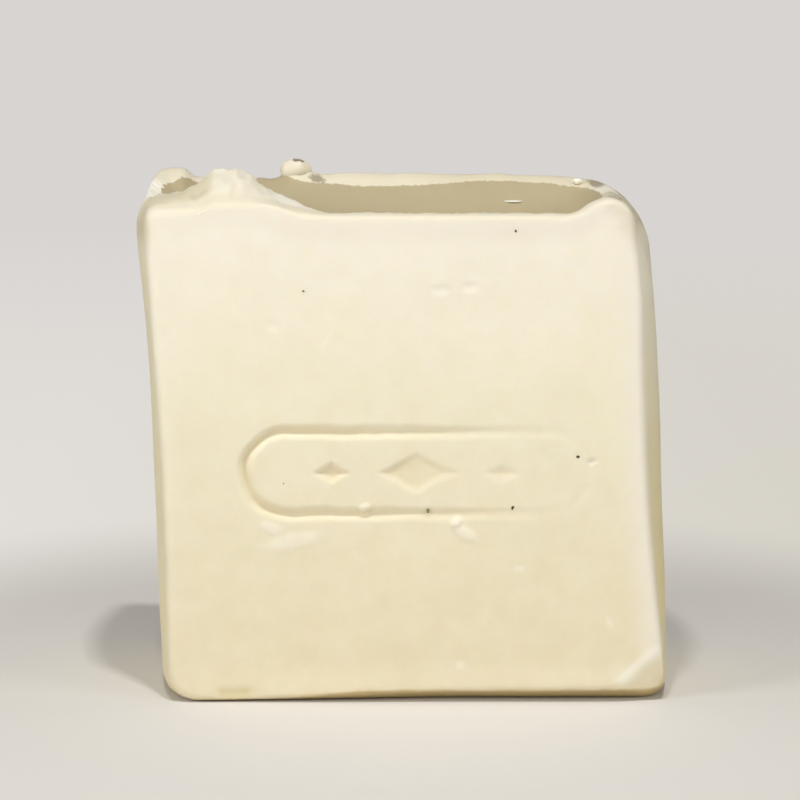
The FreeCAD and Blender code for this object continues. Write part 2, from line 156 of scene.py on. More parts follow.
@dataclass(frozen=True)
class Stamp:
    """Worn generic mark in the face: an oval groove round three lozenges, sizes in mm."""

    middle: float = 0.775
    up: float = 24.9
    length: float = 38.0
    width: float = 10.4
    stroke: float = 1.7
    wall: float = 0.8
    depth_left: float = 0.52
    depth_right: float = 0.16
    lozenge: tuple[float, float] = (9.0, 4.6)
    small_lozenge: tuple[float, float] = (4.6, 2.6)
    small_aside: float = 9.0

    def cover(self, x: np.ndarray, z: np.ndarray) -> np.ndarray:
        """Share of the mark's full depth over the face.

        The gap to the oval is that of a line with round ends; the groove lies between two of its
        level lines. A lozenge's gap is the sum of the shares of its half axes less one, scaled
        to mm.

        Args:
            x: places across in mm.
            z: places up in mm.

        Returns:
            0 on the face, 1 on the floor of the mark.
        """
        across, up = x - self.middle, z - self.up
        wander = 0.2 * ragged(x, z, 2.4, 5)
        reach = self.length / 2 - self.width / 2
        outer = np.hypot(np.maximum(np.abs(across) - reach, 0.0), up) - self.width / 2 + wander
        wall = self.wall * (1.0 + 1.2 * ease(across, -6.0, self.length / 2))
        groove = ease(-outer, 0.0, wall) * ease(outer + self.stroke, 0.0, wall)
        shares = [groove]
        for aside, (long, wide) in (
            (0.0, self.lozenge),
            (-self.small_aside, self.small_lozenge),
            (self.small_aside, self.small_lozenge),
        ):
            share = np.abs(across - aside) / (long / 2) + np.abs(up) / (wide / 2) - 1.0
            gap = share * (long * wide / 4) / math.hypot(long / 2, wide / 2) + wander
            shares.append(ease(-gap, -0.1, wall * 0.9))
        return np.maximum.reduce(shares)

    def depth(self, x: np.ndarray, z: np.ndarray) -> np.ndarray:
        """Depth of the mark in mm: its cover times a depth that fades from left to right."""
        share = np.clip((x - self.middle) / self.length + 0.5, 0.0, 1.0)
        full = self.depth_left + (self.depth_right - self.depth_left) * share
        wear_and_shade = 1.0 - 0.7 * ease(ragged(x, z, 5.0, 11), -0.1, 0.5) * ease(share, 0.3, 0.6)
        return self.cover(x, z) * full * wear_and_shade


@dataclass(frozen=True)
class Dab:
    """Small round dent or smear on the face, sizes in mm."""

    x: float
    z: float
    wide: float
    high: float
    height: float
    place: Place
    turn: float = 0.0

    def cover(self, x: np.ndarray, z: np.ndarray) -> np.ndarray:
        """Bell curve over the dab's two half axes, with a ragged border."""
        turn = math.radians(self.turn)
        across = (x - self.x) * math.cos(turn) + (z - self.z) * math.sin(turn)
        up = (z - self.z) * math.cos(turn) - (x - self.x) * math.sin(turn)
        gap = np.hypot(across / self.wide, up / self.high)
        gap = gap + 0.22 * ragged(x, z, 0.9, 23)
        return ease(-gap, -1.25, -0.45)


@dataclass(frozen=True)
class Patch:
    """Rounded patch of painted shade on the worn top, in its pockets, at the end of the hollow and
    beside the crumb; its middle and half axes in mm.
    """

    middle: tuple[float, float, float]
    half_axes: tuple[float, float, float]
    lean: float = 0.0

    def within(self, x: np.ndarray, y: np.ndarray, z: np.ndarray) -> np.ndarray:
        """1 in the middle, 0 on the border and -1 at twice the half axes or further."""
        along = x - self.middle[0]
        shares = (along, y - self.middle[1], z - self.middle[2] - self.lean * along)
        total = sum((gap / half) ** 2 for gap, half in zip(shares, self.half_axes))
        return np.clip(1.0 - np.sqrt(total), -1.0, 1.0)


SHADE_PATCHES = (
    Patch((-10.2, 6.5, 54.6), (1.1, 3.0, 0.5), -0.2),
    Patch((20.9, 4.5, 54.0), (1.3, 4.5, 0.45), -0.35),
    Patch((23.3, -2.0, 53.2), (1.2, 5.0, 0.2), -0.6),
    Patch((-21.8, -10.6, 52.9), (0.8, 1.0, 0.9)),
    Patch((-25.1, -2.0, 53.9), (0.35, 2.5, 0.35)),
)
DABS = (
    Dab(3.2, 44.3, 1.0, 0.5, 0.10, Place.SUNK),
    Dab(6.3, 44.6, 0.9, 0.5, 0.10, Place.SUNK),
    Dab(-14.4, 40.4, 0.7, 0.5, 0.08, Place.SUNK),
    Dab(21.3, 8.8, 0.4, 0.8, 0.08, Place.SUNK, 20.0),
    Dab(5.4, 4.2, 0.6, 0.4, 0.06, Place.SUNK),
    Dab(11.7, 14.7, 0.7, 0.4, 0.06, Place.SUNK),
    Dab(-8.6, 39.3, 1.6, 0.14, 0.06, Place.SUNK, 59.0),
    Dab(-12.3, 17.6, 3.3, 0.9, 0.08, Place.RAISED, 12.0),
    Dab(-14.6, 19.0, 1.3, 0.6, 0.08, Place.RAISED, -20.0),
    Dab(5.9, 18.4, 1.7, 0.7, 0.16, Place.RAISED, -30.0),
    Dab(4.9, 19.6, 0.7, 0.5, 0.22, Place.RAISED, 40.0),
    Dab(-4.7, 21.2, 0.7, 0.4, 0.20, Place.RAISED, 20.0),
    Dab(19.2, 26.1, 0.35, 0.3, 0.22, Place.SUNK),
)


# Height of the torn lip's crest along the bar, as a share of its rise: places in mm and shares.
LIP_CREST = (
    (-28.5, 0.05),
    (-26.4, 0.17),
    (-24.5, 0.28),
    (-22.6, 0.46),
    (-20.9, 0.9),
    (-19.9, 1.0),
    (-17.7, 0.93),
    (-16.7, 0.72),
    (-15.6, 0.46),
    (-14.3, 0.25),
    (-12.5, 0.12),
    (-10.9, 0.03),
    (-9.0, 0.0),
)


@dataclass(frozen=True)
class SoapForm:
    """Measures of the worn bar in mm, and the heights and gaps that follow from them."""

    half_thickness: float = 13.5
    height: float = 55.1
    face: Section = Section(
        ((-25.45, 0.3), (26.75, 1.7), (22.95, 53.9), (-27.55, 55.2)), (3.0, 2.0, 2.2, 2.4)
    )
    belly: Section = Section(
        ((-27.15, -2.5), (29.25, -3.3), (25.45, 55.4), (-29.25, 57.8)), (4.2, 4.0, 8.0, 3.0)
    )
    rim_drops: tuple[float, float, float] = (1.8, 2.85, 0.15)
    dip_start: float = -15.6
    dip_slope: float = 8.4
    dip_end: float = 21.5
    dip_slope_right: float = 5.5
    lip_rise: float = 1.7
    ledge_depth: float = 7.0
    rim_wall: float = 1.4
    edge_drops: tuple[float, float] = (0.7, 0.35)
    rear_rim_inset: float = 6.6
    rear_edge_drop: float = 2.0
    rear_left: tuple[float, float] = (0.6, -0.5)
    hollow_start: float = -28.7
    hollow_end: float = 21.8
    hollow_slopes: tuple[float, float] = (2.8, 5.0)
    pocket_depth: float = 2.3
    hollow_depth: float = 4.4
    shoulder_drop: float = 1.1
    shoulder_start: float = 14.5
    shoulder_end: float = 25.45
    chamfer: tuple[float, float, float, float] = (-29.0, 51.3, 0.6, 0.12)
    chip: tuple[float, float, float] = (22.55, 2.53, 40.6)
    stamp: Stamp = field(default_factory=Stamp)

    def top(self, x: np.ndarray, y: np.ndarray) -> np.ndarray:
        """Height of the worn top.

        Going back from the face it climbs to the crest of the front rim as a parabola, sinks into
        the hollow as a sine to the power 1.2 under a smooth line from rim to rim, and falls from
        the crest of the rear rim to the back edge as a parabola. The torn lip is a blunt bell
        curve, and small torn relief lies over all of it.

        Args:
            x: places across in mm.
            y: places deep in mm.

        Returns:
            Heights in mm.
        """
        in_dip = ease(x, self.dip_start, self.dip_start + self.dip_slope)
        past_dip = ease(x, self.dip_end - self.dip_slope_right, self.dip_end)
        rear = self.height - self.shoulder_drop * ease(x, self.shoulder_start, self.shoulder_end)
        left, middle, right = self.rim_drops
        drop = left + (middle - left) * in_dip + (right - middle) * past_dip
        on_lip = np.interp(x, [spot[0] for spot in LIP_CREST], [spot[1] for spot in LIP_CREST])
        front = rear - drop + (self.lip_rise + left) * on_lip
        front = front + 0.3 * ragged(x, 0.3 * y, 0.8, 31) * ease(x, -12.0, -15.0)
        edge = rear - drop - self.edge_drops[0] - (self.edge_drops[1] - self.edge_drops[0]) * in_dip
        edge = edge + 0.6 * ease(x, -22.5, -20.0) * ease(x, -11.0, -15.0)
        high, low = self.rear_left
        rear = rear + high * ease(x, -23.6, -25.2) + 0.12 * grain(x, y, 2.4, 33)
        rear = rear + low * ease(x, -25.2, -23.6) * ease(x, -12.6, -14.8)
        ahead, back = -self.half_thickness, self.half_thickness - self.rear_rim_inset
        crest = ahead + self.ledge_depth + (self.rim_wall - self.ledge_depth) * in_dip
        climb = np.clip((y - ahead) / (crest - ahead), 0.0, 1.0)
        before = edge + (front - edge) * (1.0 - (1.0 - climb) ** (2.0 - 0.7 * on_lip))
        behind = rear - self.rear_edge_drop * ((y - back) / self.rear_rim_inset) ** 2
        share = np.clip((y - crest) / (back - crest), 0.0, 1.0)
        line = front + (rear - front) * ease(share, 0.0, 1.0 - 0.5 * on_lip)
        hollow = line - self.hollow_at(x) * np.sin(math.pi * share) ** (1.2 - 0.4 * on_lip)
        height = np.where(y <= crest, before, np.where(y >= back, behind, hollow))
        height = height + 0.7 * bump(x, -12.7, 1.8) * bump(y, 7.2, 1.8)
        return height + self.torn(x, y, share)

    def hollow_at(self, x: np.ndarray) -> np.ndarray:
        """Depth of the hollow along the bar: a shallow pocket on the left, then the long dip."""
        in_dip = ease(x, self.dip_start, self.dip_start + self.dip_slope)
        depth = self.pocket_depth + (self.hollow_depth - self.pocket_depth) * in_dip
        depth = depth * ease(x, self.hollow_start, self.hollow_start + self.hollow_slopes[0])
        return depth * ease(x, self.hollow_end, self.hollow_end - self.hollow_slopes[1])

    def torn(self, x: np.ndarray, y: np.ndarray, share: np.ndarray) -> np.ndarray:
        """Small torn relief of the top: coarse round the lip, fine along both rims."""
        by_lip = bump(x, -21.5, 7.0) * ease(y, -13.2, -9.5)
        rims = 1.0 - 0.7 * ease(share, 0.05, 0.3) * ease(share, 0.95, 0.7)
        coarse = 0.34 * ragged(x, y, 2.6, 41) * by_lip
        fold = x + 17.2 - 0.2 * (y + 6.0)
        coarse = coarse - 0.26 * bump(fold, 0.0, 0.3) * ease(y, -13.0, -11.0) * ease(y, -5.5, -7.0)
        pits = -0.9 * bump(x, -25.2, 1.9) * bump(y, -1.0, 3.2)
        pits = pits - 0.3 * bump(x, -21.8, 0.8) * bump(y, -10.0, 0.8)
        fine = 0.13 * ragged(x, y, 1.1, 43) * rims * ease(y, -13.4, -12.0)
        return coarse + pits + fine

    def gap(self, x: np.ndarray, y: np.ndarray, z: np.ndarray) -> np.ndarray:
        """Signed gap to the bar's sides, worn top and rest plane at one depth, negative inside.

        Each corner of the outline lies between its places on the face and on the belly by the
        share 1 minus y squared over the half thickness squared. The gap to a side is the
        distance from the straight line through its corners, less its bow.

        Args:
            x: places across in mm.
            y: places deep in mm.
            z: places up in mm.

        Returns:
            Gaps in mm.
        """
        share = 1.0 - (y / self.half_thickness) ** 2
        corners, rounds = [], []
        for flat, full in zip(self.face.corners, self.belly.corners):
            corners.append([f + (b - f) * share for f, b in zip(flat, full)])
        for flat, full in zip(self.face.rounds, self.belly.rounds):
            rounds.append(flat + (full - flat) * share)
        sides = []
        for (left, low), (right, high) in zip(corners, corners[1:] + corners[:1]):
            along, rise = right - left, high - low
            sides.append(((x - left) * rise - (z - low) * along) / np.hypot(along, rise))
        bottom, right_side, top, left_side = sides
        bottom = bottom + 0.3 * bump(x, 3.0, 9.0) * (1 - share)
        face_bow = 0.35 * bump(z, 4.7, 6.0) - 0.25 * bump(z, 22.7, 8.0) + 0.4 * bump(z, 43.7, 6.0)
        right_side = right_side - face_bow * (1 - share) - 0.5 * bump(z, 36.7, 12.0) * share
        right_side = right_side + 0.65 * ease(z, 12.0, 1.0) * share
        left_side = left_side + 0.5 * bump(z, 23.7, 16.0) * (1 - share)
        left_side = left_side + (0.2 * bump(z, 28.7, 9.0) - 0.5 * bump(z, 50.0, 6.0)) * share
        left_side = left_side + 0.8 * ease(z, 51.0, 55.0) * share
        sides = [bottom, right_side, top, left_side]
        body = np.full(np.shape(x + y + z), -1e3)
        for number in range(4):
            body = np.maximum(body, round_max(sides[number - 1], sides[number], rounds[number]))
        start, height, lean, turn = self.chamfer
        slope = (start + lean * (z - height) - turn * (y + 6.5) - x) / math.hypot(1.0, lean)
        body = soft_max(body, slope, 0.8)
        body = body + 0.10 * grain(x + 0.6 * y, z, 9.0, 71) * ease(share, 0.1, 0.5)
        wear_and_shade = soft_max(body, z - self.top(x, y), 0.9)
        return soft_max(wear_and_shade, -z, 0.3)

    def past_chip(self, x: np.ndarray, z: np.ndarray) -> np.ndarray:
        """Distance in mm past the ragged line of the chip, towards the lower right corner."""
        across, up, turn = self.chip
        turn = math.radians(turn)
        past = (x - across) * math.sin(turn) - (z - up) * math.cos(turn)
        return past + 0.18 * ragged(x, z, 1.2, 83)

    def carve(self, x: np.ndarray, z: np.ndarray) -> np.ndarray:
        """Depth to which the face is cut back in mm: the mark, the flake, the chip and the dabs.

        The flake is a box with a ragged upper edge. The chip is a plane that leans back from a
        ragged line across the lower right corner.
        """
        cut = self.stamp.depth(x, z)
        for dab in DABS:
            cut = cut - dab.place.value * dab.height * dab.cover(x, z)
        wander = 0.1 * ragged(x, z, 1.2, 83)
        flake = ease(x, -21.2, -20.0) * ease(x, -15.2, -17.6)
        edge = 1.55 - 0.16 * bump(x, -19.0, 0.6) + 0.12 * bump(x, -17.6, 0.8) - wander
        cut = cut + 0.2 * flake * ease(z, edge + 0.08, edge - 0.1)
        past = np.maximum(self.past_chip(x, z), 0.0)
        return cut + past * math.tan(math.radians(16.0)) * ease(z, -4.0, 1.0)


def spread(
    start: float, end: float, count: int, fine: tuple[float, float], ratio: float
) -> np.ndarray:
    """Places from start to end, closer together over the fine stretch.

    Args:
        start: first place in mm.
        end: last place in mm.
        count: number of steps.
        fine: stretch with closer places.
        ratio: how many times closer they are there.

    Returns:
        count + 1 places, at equal steps of the running sum of the closeness.
    """
    dense = np.linspace(start, end, 2000)
    within = ease(dense, fine[0] - 1.0, fine[0]) * ease(dense, fine[1] + 1.0, fine[1])
    weight = 1.0 + (ratio - 1.0) * within
    total = np.concatenate([[0.0], np.cumsum((weight[1:] + weight[:-1]) / 2)])
    return np.interp(np.linspace(0.0, total[-1], count + 1), total, dense)


def soap_mesh(name: str, points: np.ndarray, faces: list[tuple[int, ...]]) -> bpy.types.Object:
    """Smooth mesh object from points in mm.

    Args:
        name: name of the piece.
        points: one row for each vertex.
        faces: corner numbers of each face.

    Returns:
        The new object, at the origin and in metres.
    """
    mesh = bpy.data.meshes.new(name)
    mesh.from_pydata((points * MM).tolist(), [], faces)
    mesh.polygons.foreach_set("use_smooth", np.ones(len(mesh.polygons), dtype=bool))
    mesh.update()
    piece = bpy.data.objects.new(name, mesh)
    bpy.context.scene.collection.objects.link(piece)
    return piece


def quads(lower: np.ndarray, upper: np.ndarray) -> np.ndarray:
    """Faces between two rows of vertex numbers; the corners run lower, upper, upper, lower."""
    return np.stack([lower[:-1], upper[:-1], upper[1:], lower[1:]], axis=1)


# Where the painted shadow in the hollow ends below the rear rim: places across and up in mm.
HOLLOW_SHADOW_BORDER = (
    (-28.5, 53.9),
    (-27.7, 54.0),
    (-26.0, 54.35),
    (-25.0, 54.95),
    (-24.3, 54.6),
    (-23.4, 54.2),
    (-17.0, 54.6),
    (-16.2, 55.2),
    (-14.2, 55.2),
    (-12.9, 54.7),
    (-11.8, 54.35),
    (-9.0, 54.15),
    (-4.9, 53.85),
    (0.9, 53.95),
    (7.9, 54.4),
    (10.7, 54.4),
    (15.8, 54.15),
    (17.1, 53.9),
    (19.8, 53.7),
    (21.0, 53.6),
)


@dataclass
class Bar:
    """The bar itself: a closed skin of a face patch, a band round the sides and a back patch."""

    form: SoapForm = field(default_factory=SoapForm)
    across: int = 224
    up: int = 184
    core: tuple[tuple[float, float], ...] = ((-20.0, 6.7), (21.0, 7.2), (16.8, 46.2), (-22.2, 48.7))
    fans: tuple[int, ...] = (24, 24, 32, 40)
    fine: tuple[tuple[float, float], ...] = ((-19.0, 21.0), (19.2, 30.7))
    crowding: tuple[float, float] = (1.0, 1.6)
    fine_rows: int = 46
    back_rows: int = 5
    reach: float = 15.0

    def rays(self) -> tuple[np.ndarray, np.ndarray]:
        """Origins and directions of the rays that find the outline, counterclockwise.

        They stand square on the sides of a four-cornered core and fan out at its corners. The
        first ray is the middle one of the lower left fan.
        """
        origins, directions = [], []
        starts = (180.0, 270.0, 0.0, 90.0)
        straights = self.straights()
        for number in range(4):
            fan = self.fans[number]
            angles = np.radians(starts[number] + 90.0 * np.arange(fan) / fan)
            origins.append(np.repeat([self.core[number]], fan, axis=0))
            directions.append(np.stack([np.cos(angles), np.sin(angles)], axis=1))
            places = straights[number][:-1]
            angle = math.radians(starts[number] + 90.0)
            origins.append(places)
            directions.append(np.repeat([[math.cos(angle), math.sin(angle)]], len(places), axis=0))
        shift = -self.fans[0] // 2
        ordered = [np.roll(np.concatenate(parts), shift, 0) for parts in (origins, directions)]
        return ordered[0], ordered[1]

    def straights(self) -> list[np.ndarray]:
        """Points along the four sides of the core, from each corner to the next."""
        totals = (self.across, self.up, self.across, self.up)
        sides = []
        for number in range(4):
            start, end = self.core[number], self.core[(number + 1) % 4]
            count = totals[number] - self.fans[number] // 2 - self.fans[(number + 1) % 4] // 2
            axis = number % 2
            low, high = sorted((start, end), key=lambda corner: corner[axis])
            places = spread(low[axis], high[axis], count, self.fine[axis], self.crowding[axis])
            if start[axis] > end[axis]:
                places = places[::-1]
            other = np.interp(places, (low[axis], high[axis]), (low[1 - axis], high[1 - axis]))
            pair = (places, other) if axis == 0 else (other, places)
            sides.append(np.stack(pair, axis=1))
        return sides

    def bevels(self, directions: np.ndarray) -> np.ndarray:
        """Width in mm of the worn edge between face and side, for each ray."""
        left = np.clip(-directions[:, 0], 0.0, 1.0)
        right = np.clip(directions[:, 0], 0.0, 1.0)
        high = np.clip(directions[:, 1], 0.0, 1.0)
        return 0.4 + 0.3 * left + 0.1 * right + 0.1 * high

    def rows(self) -> np.ndarray:
        """Depths of the rows of the band in mm, close together at the face."""
        half = self.form.half_thickness
        edge = np.array([0.0, 0.03, 0.1, 0.2, 0.34, 0.52, 0.75, 1.05, 1.4, 1.8])
        front = np.linspace(2.25, 9.0, 15)
        rear = np.linspace(9.6, 24.6, self.fine_rows - 25)
        back = np.array([25.3, 25.9, 26.4, 26.75, 27.0])
        return np.concatenate([edge, front, rear, back]) - half

    def band(self) -> np.ndarray:
        """Points of the band round the sides.

        Along each ray the place where the gap changes sign is found by halving. Near the face
        and the back the gap grows by the bevel's inset, a quarter circle.

        Returns:
            Points as rows by rays by three.
        """
        origins, directions = self.rays()
        rows = self.rows()
        half = self.form.half_thickness
        bevel = self.bevels(directions)[None, :]
        y = np.repeat(rows[:, None], len(origins), axis=1)
        into = np.clip(bevel - (half - np.abs(y)), 0.0, bevel)
        inset = bevel - np.sqrt(bevel**2 - into**2)
        near, far = np.zeros_like(y), np.full_like(y, self.reach)
        for _ in range(BISECTIONS):
            middle = (near + far) / 2
            x = origins[None, :, 0] + middle * directions[None, :, 0]
            z = origins[None, :, 1] + middle * directions[None, :, 1]
            outside = self.form.gap(x, y, z) + inset > 0.0
            near, far = np.where(outside, near, middle), np.where(outside, middle, far)
        x = origins[None, :, 0] + near * directions[None, :, 0]
        z = origins[None, :, 1] + near * directions[None, :, 1]
        return np.stack([x, y, z], axis=2)

    def patch(self, ring: np.ndarray, across: int, up: int) -> np.ndarray:
        """Grid of points inside a closed ring.

        The ring is cut in four curves. A point is the blend of the lower and upper curve plus
        the blend of the left and right curve, less the blend of the four corners.

        Args:
            ring: points of the ring, counterclockwise from the lower left corner.
            across: steps along the lower and upper curve.
            up: steps along the left and right curve.

        Returns:
            Points as across + 1 by up + 1 by three.
        """
        closed = np.concatenate([ring, ring[:1]])
        low = closed[: across + 1]
        right = closed[across : across + up + 1]
        high = closed[across + up : 2 * across + up + 1][::-1]
        left = closed[2 * across + up :][::-1]
        u = [(c[:, 0] - c[0, 0]) / (c[-1, 0] - c[0, 0]) for c in (low, high)]
        v = [(c[:, 2] - c[0, 2]) / (c[-1, 2] - c[0, 2]) for c in (left, right)]
        u, v = (u[0] + u[1])[:, None, None] / 2, (v[0] + v[1])[None, :, None] / 2
        sides = (1 - v) * low[:, None] + v * high[:, None] + (1 - u) * left[None] + u * right[None]
        corners = (1 - u) * (1 - v) * low[0] + u * (1 - v) * low[-1]
        return sides - corners - (1 - u) * v * high[0] - u * v * high[-1]

    def build(self) -> bpy.types.Object:
        """Join the face patch, the band and the back patch into one closed skin."""
        band = self.band()
        across, up, rays = self.across, self.up, 2 * (self.across + self.up)
        front = self.patch(band[0], across, up)
        coarse = band[self.fine_rows :, ::2]
        back = self.patch(coarse[-1], across // 2, up // 2)
        numbers = np.arange((across + 1) * (up + 1)).reshape(across + 1, up + 1)
        ring = self.border(numbers)
        fine = [ring]
        total = numbers.size
        for _ in range(self.fine_rows - 1):
            fine.append(np.arange(total, total + rays))
            total += rays
        thin = []
        for _ in range(self.back_rows - 1):
            thin.append(np.arange(total, total + rays // 2))
            total += rays // 2
        back_numbers = np.arange(total, total + back[..., 0].size).reshape(back.shape[:2])
        thin.append(self.border(back_numbers))
        faces: list[np.ndarray] = []
        low_left, low_right = numbers[:-1, :-1].ravel(), numbers[1:, :-1].ravel()
        high_right, high_left = numbers[1:, 1:].ravel(), numbers[:-1, 1:].ravel()
        faces.append(np.stack([low_left, low_right, high_right, high_left], axis=1))
        for rows in (fine, thin):
            for row, after in zip(rows, rows[1:]):
                faces.append(quads(np.append(row, row[0]), np.append(after, after[0])))
        low_left, low_right = back_numbers[:-1, :-1].ravel(), back_numbers[1:, :-1].ravel()
        high_right, high_left = back_numbers[1:, 1:].ravel(), back_numbers[:-1, 1:].ravel()
        faces.append(np.stack([low_left, high_left, high_right, low_right], axis=1))
        last, first = fine[-1], thin[0]
        joins = np.stack(
            [last[0::2], first, np.roll(first, -1), np.roll(last[0::2], -1), last[1::2]], axis=1
        )
        points = np.concatenate(
            [
                front.reshape(-1, 3),
                band[1 : self.fine_rows].reshape(-1, 3),
                coarse[:-1].reshape(-1, 3),
                back.reshape(-1, 3),
            ]
        )
        points = self.finish(points)
        listed = [tuple(face) for face in np.concatenate(faces).tolist()]
        listed += [tuple(face) for face in joins.tolist()]
        piece = soap_mesh("soap_bar_worn", points, listed)
        self.paint(piece, points)
        return piece

    def border(self, numbers: np.ndarray) -> np.ndarray:
        """Vertex numbers round a patch, counterclockwise from the lower left corner."""
        return np.concatenate(
            [numbers[:-1, 0], numbers[-1, :-1], numbers[:0:-1, -1], numbers[0, :0:-1]]
        )

    def finish(self, points: np.ndarray) -> np.ndarray:
        """Cut the face back where it is stamped and chipped, and give it its low waves.

        Depth becomes the larger of the depth there is and the floor of the cuts. The waves are
        smooth grain a few hundredths of a millimetre high.
        """
        half = self.form.half_thickness
        x, y, z = points.T
        floor = self.form.carve(x, z) - half
        waves = 0.09 * grain(x, z, 11.0, 91) + 0.035 * grain(x, z, 3.5, 93)
        facing = ease(y, -half + 1.2, -half)
        y = np.where(y < 0.0, np.maximum(y, floor) + np.minimum(floor + half, 0.0) * facing, y)
        y = y + (waves + 0.12) * facing * ease(self.inside(x, z), 0.0, 3.0)
        return np.stack([x, y, z], axis=1)

    def inside(self, x: np.ndarray, z: np.ndarray) -> np.ndarray:
        """Distance in mm from the border of the face, measured inwards."""
        y = np.full_like(x, -self.form.half_thickness)
        return -self.form.gap(x, y, z)

    def top_tones(self, x: np.ndarray, y: np.ndarray, z: np.ndarray) -> dict[str, np.ndarray]:
        """Tones of the worn top: painted shadow in the hollow, wear and painted shade on the rims and
        edges, patches of painted shade and the pale tears.

        The hollow's painted shadow and the patches of painted shade are 1 plus a signed border, above 1
        inside it, which the finish then makes ragged. The others are shares of their tone.

        Args:
            x: places across in mm.
            y: places deep in mm.
            z: places up in mm.

        Returns:
            Values for each vertex, by the name of the tone.
        """
        form = self.form
        half = form.half_thickness
        wander = ragged(x, y + z, 1.1, 51)
        on_top = ease(z, 47.7, 50.7)
        in_dip = ease(x, form.dip_start, form.dip_start + form.dip_slope)
        crest = form.ledge_depth + (form.rim_wall - form.ledge_depth) * in_dip - half
        inner = ease(y, crest + 0.1, crest + 0.7) * ease(y, 9.0, 7.6) * ease(z, 40.0, 44.0)
        inner = inner * ease(x, 21.8, 20.8) * ease(x, -28.3, -27.3)
        # Painted shadow in the hollow, up to the listed border below the rear rim.
        border = np.interp(x, [spot[0] for spot in HOLLOW_SHADOW_BORDER], [spot[1] for spot in HOLLOW_SHADOW_BORDER])
        hollow_shadow = 1.0 + np.clip(np.minimum(border - z, 1.6 * inner - 0.8), -1.0, 1.0)
        # Painted shade, with the tone of wear, on the up-facing ledge, the rear rims and the face's top
        # edge.
        front = ease(y, -half + 0.5, -half + 2.2) * ease(y, -3.0, -5.5) * on_top
        ledge = front * (0.45 * ease(x, -13.0, -16.5) + 0.5 * ease(x, -20.3, -21.6))
        edge = 0.6 * ease(self.inside(x, z), 0.75, -0.1) * on_top
        edge = edge * ease(y, -half + 2.6, -half + 1.4)
        rims = ease(y, 2.0, 5.0) * on_top * (0.7 + 0.15 * ease(x, -4.0, 6.0))
        # Painted shade on the up-facing top right corner and on the face's corner below it, less along a
        # ridge in the middle.
        corner = ease(x, 18.5, 21.0) * ease(z, 48.0, 51.5) * ease(y, -half + 0.35, -half + 1.2)
        ridge = bump(y, -1.0, 3.2) * corner
        corner_facet_shade = ease(0.8 * (x - 22.9) + 0.6 * (z - 53.4) + 0.7 * wander, -3.0, -0.9)
        corner_facet_shade = 0.5 * corner_facet_shade * ease(x, 10.0, 16.0)
        corner_shade = corner * (0.9 + 0.3 * wander) - ridge
        # Painted shade on the top right corner, less along its ridge, and in the listed patches.
        patch_shade = (1.05 + 0.15 * wander) * np.clip(corner - ridge, 0.0, 1.0)
        for patch in SHADE_PATCHES:
            patch_shade = np.maximum(patch_shade, 1.0 + patch.within(x, y, z))
        tear = 0.9 * bump(y - crest, 0.0, 0.7) * ease(x, -13.0, -15.0) * on_top
        return {
            "hollow_shadow": hollow_shadow,
            "wear_and_shade": np.clip(np.maximum.reduce([ledge, rims, corner_shade, edge, corner_facet_shade]), 0.0, 1.0),
            "patch_shade": patch_shade,
            "pale": np.maximum(tear, 1.3 * ridge),
        }

    def face_tones(self, x: np.ndarray, y: np.ndarray, z: np.ndarray) -> dict[str, np.ndarray]:
        """Tones of the face and the sides, as shares: painted shade on the sides, in the mark and under
        the bottom edge, painted light along the face's border.

        Args:
            x: places across in mm.
            y: places deep in mm.
            z: places up in mm.

        Returns:
            Shares for each vertex, by the name of the tone.
        """
        form = self.form
        half = form.half_thickness
        right = ease(x, -14.0, 14.0) * ease(y, 12.0, 6.0)
        # Painted shade on the sides: darker and more olive, most on the right and low down.
        flank_shade = ease(y, -half + 0.5, -half + 2.0) * ease(z, 53.2, 50.7)
        flank_shade = flank_shade * (0.45 + (0.8 * ease(z, 46.0, 14.0) - 0.3) * right)
        # Painted light along the border of the face, most on the right.
        border_light = ease(self.inside(x, z), 3.5, 0.2) * ease(y, -half + 1.2, -half) * ease(z, 1.0, 8.0)
        border_light = border_light * (0.2 + 0.8 * ease(x, -12.0, 12.0))
        # Painted warm shade on the floor of the mark, fading where the mark is shallow.
        groove = np.clip(form.stamp.cover(x, z) * ease(y, -half + 2.5, -half + 1.6), 0.0, 1.0)
        share = np.clip((x - form.stamp.middle) / form.stamp.length + 0.5, 0.0, 1.0)
        groove = groove * (1.0 - 0.75 * share) * (0.8 + 0.4 * ragged(x, z, 3.0, 57))
        smear = 2.2 * bump(form.past_chip(x, z), 0.1, 0.6)
        smear = smear * ease(x + z, 23.5, 25.5) * ease(x + z, 34.0, 31.5)
        pale = np.maximum.reduce([dab.cover(x, z) for dab in DABS] + [smear])
        warm = ease(form.carve(x, z), 0.12, 0.2) * (1 - groove) * ease(z, 2.2, 1.6)
        warm = np.clip(warm, 0.0, 1.0) * ease(y, -9.0, -11.0) * ease(x, -12.0, -14.0)
        # Painted shadow under the bottom edge, where the face turns under to the floor.
        turned_under = 0.25 + 1.05 * ease(x, -17.0, -3.0)
        wander = ragged(x, y + z, 1.1, 51)
        underside_shadow = ease(z - turned_under + 0.12 * wander, 0.3, -0.2) * ease(y, -6.0, -9.0)
        return {
            "flank_shade": flank_shade,
            "border_light": border_light,
            "groove": groove,
            "pale": pale * ease(y, -10.0, -11.0),
            "warm": warm,
            "underside_shadow": underside_shadow,
        }

    def paint(self, piece: bpy.types.Object, points: np.ndarray) -> None:
        """Store on the mesh where the soap has which tone, for its finish to read.

        Args:
            piece: the bar.
            points: its vertices in mm.
        """
        tones, face = self.top_tones(*points.T), self.face_tones(*points.T)
        face["pale"] = np.clip(np.maximum(face["pale"], tones["pale"]), 0.0, 2.0)
        tones.update(face)
        for name, values in tones.items():
            layer = piece.data.attributes.new(name, "FLOAT", "POINT")
            layer.data.foreach_set("value", values.astype(np.float32))

